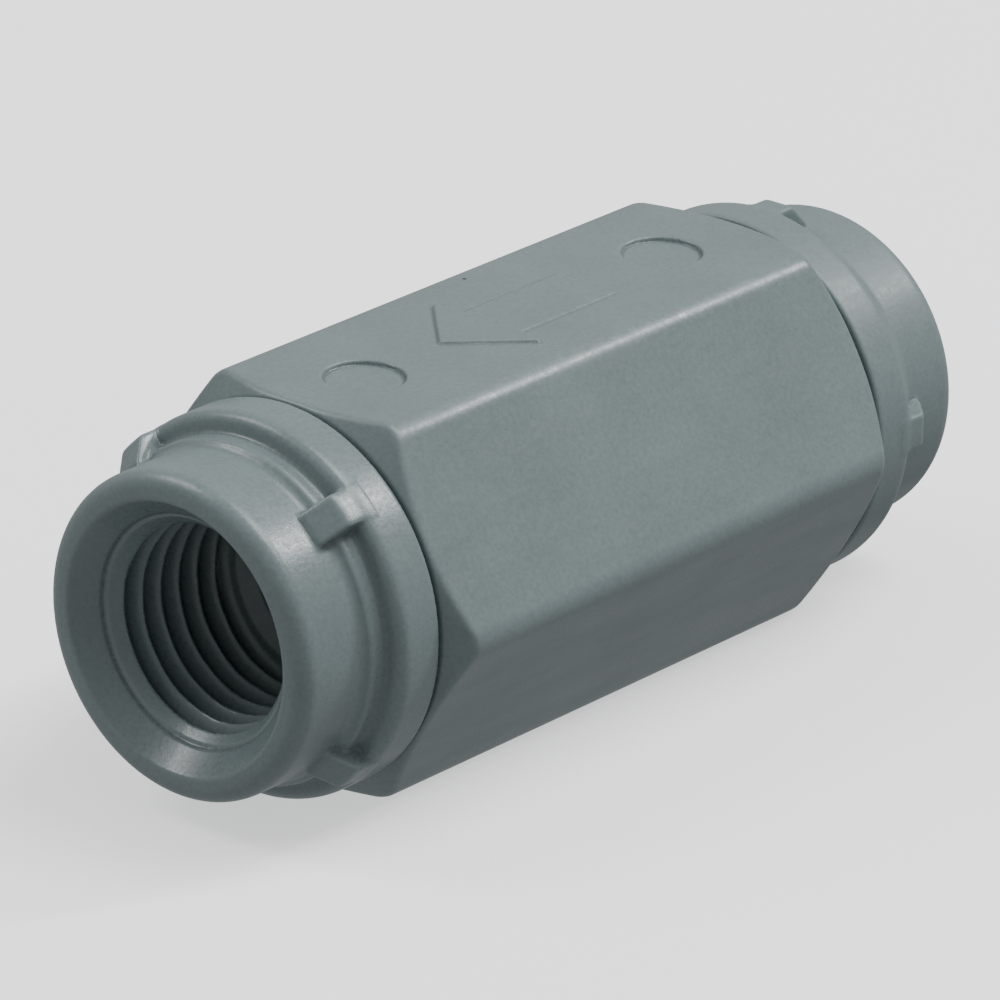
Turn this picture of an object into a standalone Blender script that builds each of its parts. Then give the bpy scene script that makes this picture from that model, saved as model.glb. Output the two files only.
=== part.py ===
"""In-line spring check valve with a hexagonal body and two screwed end connectors.

The valve's axis is X, and the flow runs towards +X. One flat of the hexagon faces +Z. The origin is the centre of
the body, on the axis. Driving dimensions are in millimetres, and the scene is in metres.

Turned pieces are drawn as outlines of (along, radius) points, where along is measured on the valve's axis. An
outline runs down the outer side, from the highest along to the lowest, and back up the bore if there is one.
"""

from math import cos, pi, radians, sin, tan

import bmesh
import bpy
from mathutils import Matrix, Vector

MM = 0.001
SEGMENTS = 32
GAP = 0.3  # between pieces that touch
HEAD_GAP = 0.25  # under the screw's head
RUNNING_CLEARANCE = 0.08  # of the stem in its bush, on the radius

# Body
ACROSS_FLATS = 22.0
APOTHEM = ACROSS_FLATS / 2
BODY_HALF = 18.7
END_RADIUS = 10.9
CORNER_TIP = 17.6
CORNER_RADIUS = 12.44
RIDGE_RADIUS = 1.7
CHAMBER_RADIUS = 7.6
SEAT_SHOULDER = -8.5
GUIDE_SHOULDER = 6.0
SOCKET_RADIUS = 8.65
MOUTH_RADIUS = 9.5
MOUTH_START = 17.1
MOUTH_CHAMFER = 0.05
RING_GROOVE = (8.5, 9.9)
RING_GROOVE_RADIUS = 9.3

# Marks on the top flat
ARROW_TIP = 7.1
ARROW_NECK = 3.0
ARROW_TAIL = -6.6
ARROW_HEAD_HALF = 4.0
ARROW_SHAFT_HALF = 2.05
ARROW_HEIGHT = 0.25
RECESS_RADIUS = 2.3
RECESS_DEPTH = 0.3
RECESS_CENTRES = (13.3, -12.2)
MARKS_OFFSET = 0.3  # of all the marks, towards +Y

# End connectors, measured from the middle of the valve outwards
FACE = 28.05
HUB_RADIUS = 9.35
LIP_ROUND = 1.0
PORT_CHAMFER_RADIUS = 7.8
PORT_STEP = (26.58, 6.65)
PORT_RING = (26.45, 6.45)
LEDGE = 23.2
LEDGE_RADIUS = 9.8
LEDGE_FILLET = 0.4
FLANGE_FRONT = 22.1
FLANGE_RADIUS = APOTHEM
FLANGE_ROUND = 0.7
FLANGE_BACK = BODY_HALF + 0.25  # leaves the fine joint line that shows round the body
SPIGOT_END = 11.2
SPIGOT_CHAMFER = 0.4
WATERWAY_RADIUS = 4.5
WATERWAY_TOP = 16.55
OUTLET_LUG_ANGLES = (48.0, 135.0, 228.0, 318.0)
INLET_LUG_ANGLES = (0.0, 90.0, 180.0, 270.0)
LUG_HALF_WIDTH = 1.03
LUG_FRONT = 24.4
LUG_FRONT_RADIUS = 9.5
LUG_SHOULDER = (23.0, 10.9)
LUG_TOP_RADIUS = FLANGE_RADIUS - 0.06
LUG_ROOT_RADIUS = 8.15
LUG_BACK = 21.1

# Pipe thread, 1/4-18 NPT
PIPE_PITCH = 25.4 / 18
PIPE_MINOR_RADIUS = 5.75
PIPE_DEPTH = 1.1
PIPE_TAPER = 1 / 32
PIPE_TURNS = 6
PIPE_START = 25.62

# Thread that holds a connector in the body
JOINT_PITCH = 1.6
JOINT_CREST = 8.95
JOINT_ROOT = 8.35
JOINT_TURNS = 3
JOINT_START = 16.6

# Seals
BODY_SEAL_SECTION = 0.52
BODY_SEAL_RADIUS = 8.72
BODY_SEAL_PLACE = 17.95
BODY_SEAL_FLOOR = 7.95
SEAT_SEAL_SECTION = 0.38
SEAT_SEAL_RADIUS = 6.9
SEAT_SEAL_PLACE = -10.55
SEAT_SEAL_GAP = 0.22  # under the seal, in its groove

# Seat and poppet at rest, which is closed
SEAT_FACE = SEAT_SHOULDER - GAP
SEAT_THICK = 2.1
SEAT_BACK = SEAT_FACE - SEAT_THICK
SEAT_OUTER = 8.3
SEAT_BORE = 4.0
SEAT_MOUTH = 4.7
SEAT_CHAMFER = 0.8
SEAL_THICK = 1.1
SEAL_OUTER = 5.6
SEAL_BORE = 2.0
SEAL_CHAMFER = 0.25
DISC_RADIUS = 6.0
DISC_THICK = 1.6
DISC_CHAMFER = 0.4
RETAINER_RADIUS = 3.4
RETAINER_THICK = 0.7
SCREW_HOLE = 1.15
SCREW_DEPTH = 2.6
SCREW_SHANK = 0.85
SCREW_HEAD = (1.9, 0.95)  # radius, height
SCREW_HEAD_CHAMFER = 0.35
SCREW_SLOT = (0.3, 0.45)  # half width, depth
STEM_RADIUS = 1.5
STEM_CHAMFER = 0.4
STEM_SOCKET = (1.8, 1.2)  # radius, depth
STEM_GROOVE_RADIUS = 1.0
BOSS_RADIUS = 2.6
BOSS_LENGTH = 1.6
STEM_END = 12.9
CLIP_THICK = 0.4
CLIP = (1.25, 2.7, 1.7)  # inner radius, outer radius, opening
CLIP_PLAY = 0.25
STOP_RADIUS = 2.9

# Spring and guide
SPRING_RADIUS = 3.6
SPRING_WIRE = 0.3
SPRING_TURNS = 6.5
SPRING_POINTS_PER_TURN = 14
CLOSED_COIL_PITCH = 2.3 * SPRING_WIRE
SPRING_END_RADIUS = 4.9
CUP_FLOOR = 0.5
CUP_WALL = 0.35
CUP_HEIGHT = 1.3
SPRING_WASHER_THICK = 0.5
GUIDE_FACE = GUIDE_SHOULDER + GAP
GUIDE_THICK = 2.1
GUIDE_HUB_RADIUS = 3.3
GUIDE_BORE = 2.3
GUIDE_RIM = (7.1, 8.3)
GUIDE_ARM_WIDTH = 1.6
HUB_LENGTH = 3.1
BUSH_FLANGE_RADIUS = 2.9
BUSH_FLANGE_THICK = 0.6
RETAINING_RING = (7.6, 9.0, 3.0)  # inner radius, outer radius, opening
RETAINING_RING_GAP = 0.45
RETAINING_RING_THICK = 0.7

GREY_PVC = ((0.235, 0.265, 0.27, 1.0), 0.42, 0.0)
DARK_PVC = ((0.16, 0.18, 0.185, 1.0), 0.45, 0.0)
RUBBER = ((0.02, 0.02, 0.02, 1.0), 0.75, 0.0)
FLUOROPOLYMER = ((0.82, 0.81, 0.77, 1.0), 0.5, 0.0)
STEEL = ((0.56, 0.56, 0.55, 1.0), 0.28, 1.0)


def clear_scene():
    for obj in list(bpy.data.objects):
        bpy.data.objects.remove(obj, do_unlink=True)


def new_collection(name):
    collection = bpy.data.collections.new(name)
    bpy.context.scene.collection.children.link(collection)
    return collection


def material(name, look):
    colour, roughness, metallic = look
    made = bpy.data.materials.new(name)
    made.use_nodes = True
    shader = made.node_tree.nodes["Principled BSDF"]
    shader.inputs["Base Color"].default_value = colour
    shader.inputs["Roughness"].default_value = roughness
    shader.inputs["Metallic"].default_value = metallic
    made.diffuse_color = colour
    return made


def add_object(name, mesh, collection, look=None, outwards=1):
    """Adds a mesh drawn along its own Z to the scene, with that Z along the valve's axis: outwards is 1 or -1."""
    obj = bpy.data.objects.new(name, mesh)
    obj.rotation_euler = (0, outwards * pi / 2, 0)
    collection.objects.link(obj)
    if look:
        mesh.materials.append(material(name, look))
    return obj


def make_helper(obj):
    obj.hide_render = True
    obj.display_type = "WIRE"
    return obj


def turned(name, outline, collection, look=None, outwards=1, closed=True, segments=SEGMENTS):
    """A solid of revolution. An outline that isn't closed starts and ends on the axis."""
    mesh = bpy.data.meshes.new(name)
    points = [(radius * MM, 0, along * MM) for along, radius in outline]
    edges = [(i, i + 1) for i in range(len(points) - 1)]
    if closed:
        edges.append((len(points) - 1, 0))
    mesh.from_pydata(points, edges, [])
    obj = add_object(name, mesh, collection, look, outwards)
    screw = obj.modifiers.new("Turn", "SCREW")
    screw.axis = "Z"
    screw.angle = 2 * pi
    screw.steps = segments
    screw.render_steps = segments
    screw.use_merge_vertices = True
    screw.merge_threshold = 0.00001
    screw.use_smooth_shade = True
    return obj


def arc(centre, radius, start, end, steps):
    """Points of an arc, in degrees from the outward radius towards the far end of the axis."""
    along, out = centre
    angles = [radians(start + (end - start) * i / steps) for i in range(steps + 1)]
    return [(along + radius * sin(a), out + radius * cos(a)) for a in angles]


def ridges(start, pitch, turns, crest, root, taper=0.0):
    """V-shaped ridges that run down the axis from start. The radii shrink by taper for each millimetre."""
    points = []
    for turn in range(turns):
        for place, radius in ((turn, crest), (turn + 0.5, root)):
            points.append((start - place * pitch, radius - place * pitch * taper))
    last = turns * pitch
    return points + [(start - last, crest - last * taper)]


def slab(name, outline, half_thickness, collection):
    """A flat plate of this outline, in the XY plane of the object, as a mesh."""
    curve = bpy.data.curves.new(name, "CURVE")
    curve.dimensions = "2D"
    curve.fill_mode = "BOTH"
    curve.extrude = half_thickness * MM
    spline = curve.splines.new("POLY")
    spline.points.add(len(outline) - 1)
    for point, (x, y) in zip(spline.points, outline):
        point.co = (x * MM, y * MM, 0, 1)
    spline.use_cyclic_u = True
    drawn = bpy.data.objects.new(name + "_outline", curve)
    collection.objects.link(drawn)
    bpy.context.view_layer.update()
    mesh = bpy.data.meshes.new_from_object(drawn.evaluated_get(bpy.context.evaluated_depsgraph_get()))
    bpy.data.objects.remove(drawn, do_unlink=True)
    shape = bmesh.new()
    shape.from_mesh(mesh)
    bmesh.ops.remove_doubles(shape, verts=shape.verts, dist=0.000001)
    bmesh.ops.recalc_face_normals(shape, faces=shape.faces)
    shape.to_mesh(mesh)
    shape.free()
    obj = bpy.data.objects.new(name, mesh)
    collection.objects.link(obj)
    return obj


def box(name, low, high, collection):
    """A block between two corners, in the valve's own frame."""
    shape = bmesh.new()
    bmesh.ops.create_cube(shape, size=1)
    size = Vector(high) - Vector(low)
    middle = (Vector(high) + Vector(low)) / 2
    place = Matrix.Translation(middle * MM) @ Matrix.Diagonal((*(size * MM), 1))
    bmesh.ops.transform(shape, matrix=place, verts=shape.verts)
    mesh = bpy.data.meshes.new(name)
    shape.to_mesh(mesh)
    shape.free()
    obj = bpy.data.objects.new(name, mesh)
    collection.objects.link(obj)
    return obj


def combine(obj, other, operation):
    boolean = obj.modifiers.new(f"{operation.title()} {other.name}", "BOOLEAN")
    boolean.operation = operation
    boolean.solver = "EXACT"
    boolean.object = other


def hexagon_bar(collection):
    """The hexagonal bar that the body is cut from, with rounded ridges."""
    shape = bmesh.new()
    corner = APOTHEM / cos(pi / 6)
    bmesh.ops.create_cone(
        shape,
        cap_ends=True,
        segments=6,
        radius1=corner * MM,
        radius2=corner * MM,
        depth=2 * BODY_HALF * MM,
    )
    ridge_edges = [e for e in shape.edges if abs(e.verts[0].co.z - e.verts[1].co.z) > MM]
    bmesh.ops.bevel(
        shape,
        geom=ridge_edges,
        offset=RIDGE_RADIUS * tan(pi / 6) * MM,
        offset_type="OFFSET",
        segments=4,
        profile=0.5,
        affect="EDGES",
    )
    mesh = bpy.data.meshes.new("hex_body")
    shape.to_mesh(mesh)
    shape.free()
    return add_object("hex_body", mesh, collection, GREY_PVC)


def cone_ends(helpers):
    """The turned shape that leaves the bar's corners cone-cut at both ends."""
    slope = (CORNER_RADIUS - END_RADIUS) / (BODY_HALF - CORNER_TIP)
    margin = 1.0
    wide = CORNER_RADIUS + margin
    wide_at = CORNER_TIP - margin / slope
    past = 0.2
    thin = END_RADIUS - past * slope
    outline = [
        (BODY_HALF + past, 0),
        (BODY_HALF + past, thin),
        (wide_at, wide),
        (-wide_at, wide),
        (-BODY_HALF - past, thin),
        (-BODY_HALF - past, 0),
    ]
    return make_helper(turned("cone_ends", outline, helpers, closed=False, segments=96))


def body_bore(helpers):
    """The body's whole bore: two sockets for the connectors, the chamber and the retaining ring's groove."""
    past = BODY_HALF + 1
    socket = [(MOUTH_START - MOUTH_CHAMFER, SOCKET_RADIUS)]
    socket += ridges(JOINT_START, JOINT_PITCH, JOINT_TURNS, JOINT_CREST + GAP, JOINT_ROOT + GAP)[:-1]
    socket += [(JOINT_START - JOINT_TURNS * JOINT_PITCH, SOCKET_RADIUS)]
    outlet = [(past, 0), (past, MOUTH_RADIUS), (MOUTH_START, MOUTH_RADIUS), (MOUTH_START, SOCKET_RADIUS)]
    inlet = [(-along, radius) for along, radius in reversed(outlet)]
    groove = [
        (RING_GROOVE[1], SOCKET_RADIUS),
        (RING_GROOVE[1], RING_GROOVE_RADIUS),
        (RING_GROOVE[0], RING_GROOVE_RADIUS),
        (RING_GROOVE[0], SOCKET_RADIUS),
    ]
    chamber = [
        (GUIDE_SHOULDER, SOCKET_RADIUS),
        (GUIDE_SHOULDER, CHAMBER_RADIUS),
        (SEAT_SHOULDER, CHAMBER_RADIUS),
        (SEAT_SHOULDER, SOCKET_RADIUS),
    ]
    mirrored = [(-along, radius) for along, radius in reversed(socket)]
    outline = outlet + socket + groove + chamber + mirrored + inlet
    return make_helper(turned("body_bore", outline, helpers, closed=False))


def flow_arrow(helpers):
    """Raised arrow that points along the flow."""
    outline = [
        (ARROW_TIP, 0),
        (ARROW_NECK, ARROW_HEAD_HALF),
        (ARROW_NECK, ARROW_SHAFT_HALF),
        (ARROW_TAIL, ARROW_SHAFT_HALF),
        (ARROW_TAIL, -ARROW_SHAFT_HALF),
        (ARROW_NECK, -ARROW_SHAFT_HALF),
        (ARROW_NECK, -ARROW_HEAD_HALF),
    ]
    root = 0.6  # how far it reaches into the body
    arrow = slab("flow_arrow", outline, (ARROW_HEIGHT + root) / 2, helpers)
    arrow.location = (0, MARKS_OFFSET * MM, (APOTHEM + (ARROW_HEIGHT - root) / 2) * MM)
    return make_helper(arrow)


def round_recess(place, helpers):
    name = "recess_out" if place > 0 else "recess_in"
    shape = bmesh.new()
    bmesh.ops.create_cone(
        shape,
        cap_ends=True,
        segments=SEGMENTS,
        radius1=RECESS_RADIUS * MM,
        radius2=RECESS_RADIUS * MM,
        depth=2 * RECESS_DEPTH * MM,
    )
    mesh = bpy.data.meshes.new(name)
    shape.to_mesh(mesh)
    shape.free()
    obj = bpy.data.objects.new(name, mesh)
    obj.location = (place * MM, MARKS_OFFSET * MM, APOTHEM * MM)
    helpers.objects.link(obj)
    return make_helper(obj)


def hex_body(parts, helpers):
    body = hexagon_bar(parts)
    combine(body, cone_ends(helpers), "INTERSECT")
    combine(body, body_bore(helpers), "DIFFERENCE")
    combine(body, flow_arrow(helpers), "UNION")
    for place in RECESS_CENTRES:
        combine(body, round_recess(place, helpers), "DIFFERENCE")


def connector_outline():
    """Hub, ledge and flange on the outside, then the spigot, and the waterway and pipe thread on the inside."""
    hub = arc((FACE - LIP_ROUND, HUB_RADIUS - LIP_ROUND), LIP_ROUND, 90, 0, 4)
    ledge = [(LEDGE + LEDGE_FILLET, HUB_RADIUS), (LEDGE, LEDGE_RADIUS), (FLANGE_FRONT, LEDGE_RADIUS)]
    flange_middle = (FLANGE_FRONT - FLANGE_ROUND, FLANGE_RADIUS - FLANGE_ROUND)
    flange = arc(flange_middle, FLANGE_ROUND, 90, 0, 4)
    flange += [(FLANGE_BACK, FLANGE_RADIUS), (FLANGE_BACK, BODY_SEAL_FLOOR)]
    spigot = [(MOUTH_START, BODY_SEAL_FLOOR), (MOUTH_START, JOINT_ROOT)]
    spigot += ridges(JOINT_START, JOINT_PITCH, JOINT_TURNS, JOINT_CREST, JOINT_ROOT)[:-1]
    spigot += [(JOINT_START - JOINT_TURNS * JOINT_PITCH, JOINT_ROOT), (SPIGOT_END, JOINT_ROOT - SPIGOT_CHAMFER)]
    thread = ridges(
        PIPE_START,
        PIPE_PITCH,
        PIPE_TURNS,
        PIPE_MINOR_RADIUS,
        PIPE_MINOR_RADIUS + PIPE_DEPTH,
        PIPE_TAPER,
    )
    waterway = [(SPIGOT_END, WATERWAY_RADIUS), (WATERWAY_TOP, WATERWAY_RADIUS)]
    mouth = [PORT_RING, PORT_STEP, (FACE, PORT_CHAMFER_RADIUS)]
    return hub + ledge + flange + spigot + waterway + thread[::-1] + mouth


def lug(name, helpers):
    """A spanner lug: level with the flange, then slanting down to the hub, drawn as a plate across the axis."""
    outline = [
        (LUG_BACK, LUG_ROOT_RADIUS),
        (LUG_FRONT, LUG_ROOT_RADIUS),
        (LUG_FRONT, LUG_FRONT_RADIUS),
        LUG_SHOULDER,
        (FLANGE_FRONT - FLANGE_ROUND, LUG_TOP_RADIUS),
        (LUG_BACK, LUG_TOP_RADIUS),
    ]
    return make_helper(slab(name, outline, LUG_HALF_WIDTH, helpers))


def connector(name, outwards, lug_angles, parts, helpers):
    """An end connector. Its lugs stand round the flange at these angles, in degrees from +Y towards +Z."""
    obj = turned(name, connector_outline(), parts, GREY_PVC, outwards)
    facing = Matrix.Identity(4) if outwards > 0 else Matrix.Rotation(pi, 4, "Z")
    for number, angle in enumerate(lug_angles, start=1):
        piece = lug(f"{name}_lug_{number}", helpers)
        piece.matrix_world = facing @ Matrix.Rotation(radians(angle), 4, "X")
        combine(obj, piece, "UNION")


def o_ring(name, place, radius, section, parts):
    """A ring of round section, with eight sides to the section."""
    outline = arc((place, radius), section, 90, -225, 7)
    return turned(name, outline, parts, RUBBER)


def ring(name, start, end, inner, outer, parts, look):
    """A plain washer between two places on the axis."""
    outline = [(end, outer), (start, outer), (start, inner), (end, inner)]
    return turned(name, outline, parts, look)


def split_ring(name, start, end, inner, outer, opening, parts, helpers, look):
    """A C-shaped ring with its opening on the +Y side."""
    obj = ring(name, start, end, inner, outer, parts, look)
    low = (start - 1, 0, -opening / 2)
    high = (end + 1, outer + 1, opening / 2)
    combine(obj, make_helper(box(name + "_opening", low, high, helpers)), "DIFFERENCE")
    return obj


def seat(parts):
    groove_inner = SEAT_SEAL_RADIUS - SEAT_SEAL_SECTION - GAP
    groove_outer = SEAT_SEAL_RADIUS + SEAT_SEAL_SECTION + GAP
    groove_floor = SEAT_SEAL_PLACE + SEAT_SEAL_SECTION + SEAT_SEAL_GAP
    outline = [
        (SEAT_FACE, SEAT_OUTER),
        (SEAT_BACK, SEAT_OUTER),
        (SEAT_BACK, groove_outer),
        (groove_floor, groove_outer),
        (groove_floor, groove_inner),
        (SEAT_BACK, groove_inner),
        (SEAT_BACK, SEAT_BORE),
        (SEAT_FACE - SEAT_CHAMFER, SEAT_BORE),
        (SEAT_FACE, SEAT_MOUTH),
    ]
    turned("seat_ring", outline, parts, FLUOROPOLYMER)
    o_ring("seat_ring_o_ring", SEAT_SEAL_PLACE, SEAT_SEAL_RADIUS, SEAT_SEAL_SECTION, parts)


def poppet(parts, helpers):
    """The disc and everything that moves with it. Each piece's origin is on the axis it slides along."""
    seal_front = SEAT_FACE + GAP
    seal_back = seal_front + SEAL_THICK
    seal = [
        (seal_back, SEAL_OUTER),
        (seal_front + SEAL_CHAMFER, SEAL_OUTER),
        (seal_front, SEAL_OUTER - SEAL_CHAMFER),
        (seal_front, SEAL_BORE),
        (seal_back, SEAL_BORE),
    ]
    turned("poppet_seal", seal, parts, RUBBER)

    disc_front = seal_back + GAP
    disc_back = disc_front + DISC_THICK
    boss_end = disc_back + BOSS_LENGTH
    screw_bottom = seal_front + SCREW_DEPTH
    disc = [
        (boss_end, BOSS_RADIUS),
        (disc_back, BOSS_RADIUS),
        (disc_back, DISC_RADIUS - DISC_CHAMFER),
        (disc_back - DISC_CHAMFER, DISC_RADIUS),
        (disc_front, DISC_RADIUS),
        (disc_front, SEAL_BORE - GAP),
        (seal_front, SEAL_BORE - GAP),
        (seal_front, SCREW_HOLE),
        (screw_bottom, SCREW_HOLE),
        (screw_bottom, 0),
    ]
    socket_radius, socket_depth = STEM_SOCKET
    floor = boss_end - socket_depth
    socket = [(floor, 0), (floor, socket_radius), (boss_end, socket_radius)]
    turned("poppet_disc", socket + disc, parts, DARK_PVC, closed=False)

    plate_back = seal_front - GAP
    plate_front = plate_back - RETAINER_THICK
    ring("seal_retainer", plate_front, plate_back, SCREW_HOLE, RETAINER_RADIUS, parts, STEEL)

    head_radius, head_height = SCREW_HEAD
    head_back = plate_front - HEAD_GAP
    head_front = head_back - head_height
    screw = [
        (screw_bottom - GAP, 0),
        (screw_bottom - GAP, SCREW_SHANK),
        (head_back, SCREW_SHANK),
        (head_back, head_radius),
        (head_front + SCREW_HEAD_CHAMFER, head_radius),
        (head_front, head_radius - SCREW_HEAD_CHAMFER),
        (head_front, 0),
    ]
    obj = turned("retainer_screw", screw, parts, STEEL, closed=False, segments=24)
    slot_half, slot_depth = SCREW_SLOT
    low = (head_front - 1, -slot_half, -head_radius - 1)
    high = (head_front + slot_depth, slot_half, head_radius + 1)
    slot = box("screw_slot", low, high, helpers)
    combine(obj, make_helper(slot), "DIFFERENCE")

    stop_front = bush_flange_end() + GAP
    stop_back = stop_front + CLIP_THICK
    ring("stop_washer", stop_front, stop_back, STEM_RADIUS + GAP, STOP_RADIUS, parts, STEEL)
    clip_front = stop_back + GAP
    clip_back = clip_front + CLIP_THICK
    clip_inner, clip_outer, clip_opening = CLIP
    split_ring("stem_clip", clip_front, clip_back, clip_inner, clip_outer, clip_opening, parts, helpers, STEEL)

    stem_front = boss_end - socket_depth + GAP
    groove = (stop_back + 0.05, clip_back + CLIP_PLAY)
    stem = [
        (STEM_END, 0),
        (STEM_END, STEM_RADIUS - STEM_CHAMFER),
        (STEM_END - STEM_CHAMFER, STEM_RADIUS),
        (groove[1], STEM_RADIUS),
        (groove[1], STEM_GROOVE_RADIUS),
        (groove[0], STEM_GROOVE_RADIUS),
        (groove[0], STEM_RADIUS),
        (stem_front, STEM_RADIUS),
        (stem_front, 0),
    ]
    turned("poppet_stem", stem, parts, STEEL, closed=False)

    cup_front = disc_back + GAP
    cup_floor = cup_front + CUP_FLOOR
    cup_rim = cup_front + CUP_HEIGHT
    cup = [
        (cup_rim, SPRING_END_RADIUS),
        (cup_front, SPRING_END_RADIUS),
        (cup_front, BOSS_RADIUS + GAP),
        (cup_floor, BOSS_RADIUS + GAP),
        (cup_floor, SPRING_END_RADIUS - CUP_WALL),
        (cup_rim, SPRING_END_RADIUS - CUP_WALL),
    ]
    turned("spring_cup", cup, parts, STEEL)
    return cup_floor


def bush_flange_end():
    return GUIDE_FACE + HUB_LENGTH + GAP + BUSH_FLANGE_THICK


def spring(start, end, parts):
    """A helical spring between two faces, with close end coils."""
    low = start + GAP + SPRING_WIRE
    high = end - GAP - SPRING_WIRE
    steps = int(SPRING_TURNS * SPRING_POINTS_PER_TURN)
    curve = bpy.data.curves.new("return_spring", "CURVE")
    curve.dimensions = "3D"
    curve.bevel_depth = SPRING_WIRE * MM
    curve.bevel_resolution = 1
    curve.use_fill_caps = True
    spline = curve.splines.new("POLY")
    spline.points.add(steps)
    open_turns = SPRING_TURNS - 2
    open_rise = (high - low - 2 * CLOSED_COIL_PITCH) / open_turns
    for i, point in enumerate(spline.points):
        turn = SPRING_TURNS * i / steps
        first = min(turn, 1.0)
        middle = min(max(turn - 1.0, 0.0), open_turns)
        last = max(turn - 1.0 - open_turns, 0.0)
        along = low + CLOSED_COIL_PITCH * (first + last) + open_rise * middle
        angle = 2 * pi * turn
        point.co = (
            SPRING_RADIUS * cos(angle) * MM,
            SPRING_RADIUS * sin(angle) * MM,
            along * MM,
            1,
        )
    obj = bpy.data.objects.new("return_spring", curve)
    obj.rotation_euler = (0, pi / 2, 0)
    parts.objects.link(obj)
    curve.materials.append(material("return_spring", STEEL))


def guide(parts, helpers):
    """The spider that carries the bush, with three arms from its hub to its rim."""
    back = GUIDE_FACE + GUIDE_THICK
    obj = ring("stem_guide", GUIDE_FACE, back, GUIDE_RIM[0], GUIDE_RIM[1], parts, DARK_PVC)
    hub = ring("guide_hub", GUIDE_FACE, GUIDE_FACE + HUB_LENGTH, GUIDE_BORE, GUIDE_HUB_RADIUS, helpers, None)
    overlap = 0.5  # of each arm with the hub and the rim
    reach = (GUIDE_BORE + overlap, GUIDE_RIM[0] + overlap)
    for number in range(3):
        low = (GUIDE_FACE, -GUIDE_ARM_WIDTH / 2, reach[0])
        high = (back, GUIDE_ARM_WIDTH / 2, reach[1])
        arm = make_helper(box(f"guide_arm_{number + 1}", low, high, helpers))
        arm.rotation_euler = (2 * pi * number / 3, 0, 0)
        combine(obj, arm, "UNION")
    combine(obj, make_helper(hub), "UNION")

    bore = STEM_RADIUS + RUNNING_CLEARANCE
    flange_end = bush_flange_end()
    flange_start = flange_end - BUSH_FLANGE_THICK
    barrel = GUIDE_BORE - GAP
    bush = [
        (flange_end, BUSH_FLANGE_RADIUS),
        (flange_start, BUSH_FLANGE_RADIUS),
        (flange_start, barrel),
        (GUIDE_FACE, barrel),
        (GUIDE_FACE, bore),
        (flange_end, bore),
    ]
    turned("guide_bush", bush, parts, FLUOROPOLYMER)
    washer_back = GUIDE_FACE - GAP
    washer_front = washer_back - SPRING_WASHER_THICK
    ring("spring_washer", washer_front, washer_back, BOSS_RADIUS + GAP, SPRING_END_RADIUS, parts, STEEL)
    front = back + RETAINING_RING_GAP
    inner, outer, opening = RETAINING_RING
    ring_back = front + RETAINING_RING_THICK
    split_ring("guide_retaining_ring", front, ring_back, inner, outer, opening, parts, helpers, STEEL)
    return washer_front


def main():
    clear_scene()
    parts = new_collection("check_valve")
    helpers = new_collection("cutters")
    hex_body(parts, helpers)
    connector("outlet_connector", 1, OUTLET_LUG_ANGLES, parts, helpers)
    connector("inlet_connector", -1, INLET_LUG_ANGLES, parts, helpers)
    o_ring("outlet_body_o_ring", BODY_SEAL_PLACE, BODY_SEAL_RADIUS, BODY_SEAL_SECTION, parts)
    o_ring("inlet_body_o_ring", -BODY_SEAL_PLACE, BODY_SEAL_RADIUS, BODY_SEAL_SECTION, parts)
    seat(parts)
    spring_start = poppet(parts, helpers)
    spring_end = guide(parts, helpers)
    spring(spring_start, spring_end, parts)


main()
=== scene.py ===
"""Looks of an in-line check valve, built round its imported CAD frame.

Shapes are worked out in millimetres, in the frame of the part: X along the flow, Z up. Each moulded piece
is a signed distance field on a grid, meshed at its zero level, with its normals and its edge mask read from
the field.
"""

from math import cos, pi, radians, sin

import bpy
import numpy as np
from mathutils import Matrix, Vector


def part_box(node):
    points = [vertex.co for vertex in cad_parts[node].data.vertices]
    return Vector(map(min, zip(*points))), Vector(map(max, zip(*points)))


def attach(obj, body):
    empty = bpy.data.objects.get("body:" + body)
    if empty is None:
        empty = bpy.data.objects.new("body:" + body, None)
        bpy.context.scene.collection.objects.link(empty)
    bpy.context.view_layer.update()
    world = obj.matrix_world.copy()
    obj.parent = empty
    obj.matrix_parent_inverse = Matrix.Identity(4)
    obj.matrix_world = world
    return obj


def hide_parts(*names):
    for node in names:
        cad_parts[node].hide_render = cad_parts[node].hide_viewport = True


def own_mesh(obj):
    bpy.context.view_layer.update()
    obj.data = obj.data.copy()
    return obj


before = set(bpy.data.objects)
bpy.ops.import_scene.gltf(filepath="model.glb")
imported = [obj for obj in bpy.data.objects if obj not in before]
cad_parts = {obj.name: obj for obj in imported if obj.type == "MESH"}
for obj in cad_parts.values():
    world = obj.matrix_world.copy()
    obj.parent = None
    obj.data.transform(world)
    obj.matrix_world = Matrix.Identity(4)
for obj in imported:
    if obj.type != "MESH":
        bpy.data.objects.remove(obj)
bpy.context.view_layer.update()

MM = 0.001
COARSE = 1.0

# Meshing, in grid steps and millimetres. Vertices in one block are merged where the surface strays less than
# this from its tangent plane, as far as this reach.
BODY_STEP = 0.14 * COARSE
CONNECTOR_STEP = 0.145 * COARSE
MERGING = (
    {"block": 2, "reach": 2, "stray": 0.018},
    {"block": 4, "reach": 5, "stray": 0.03},
)
HIDDEN_BLOCK = 4
EDGE_REACH = 1.5
SHARPEST_BEND = 4.0

# Hexagonal body
APOTHEM = 11.0
BODY_HALF = 18.7
END_RADIUS = 10.9
CORNER_TIP = 17.6
CORNER_RADIUS = 12.44
RIDGE_RADIUS = 1.7
BODY_FILLET = 0.25

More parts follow.
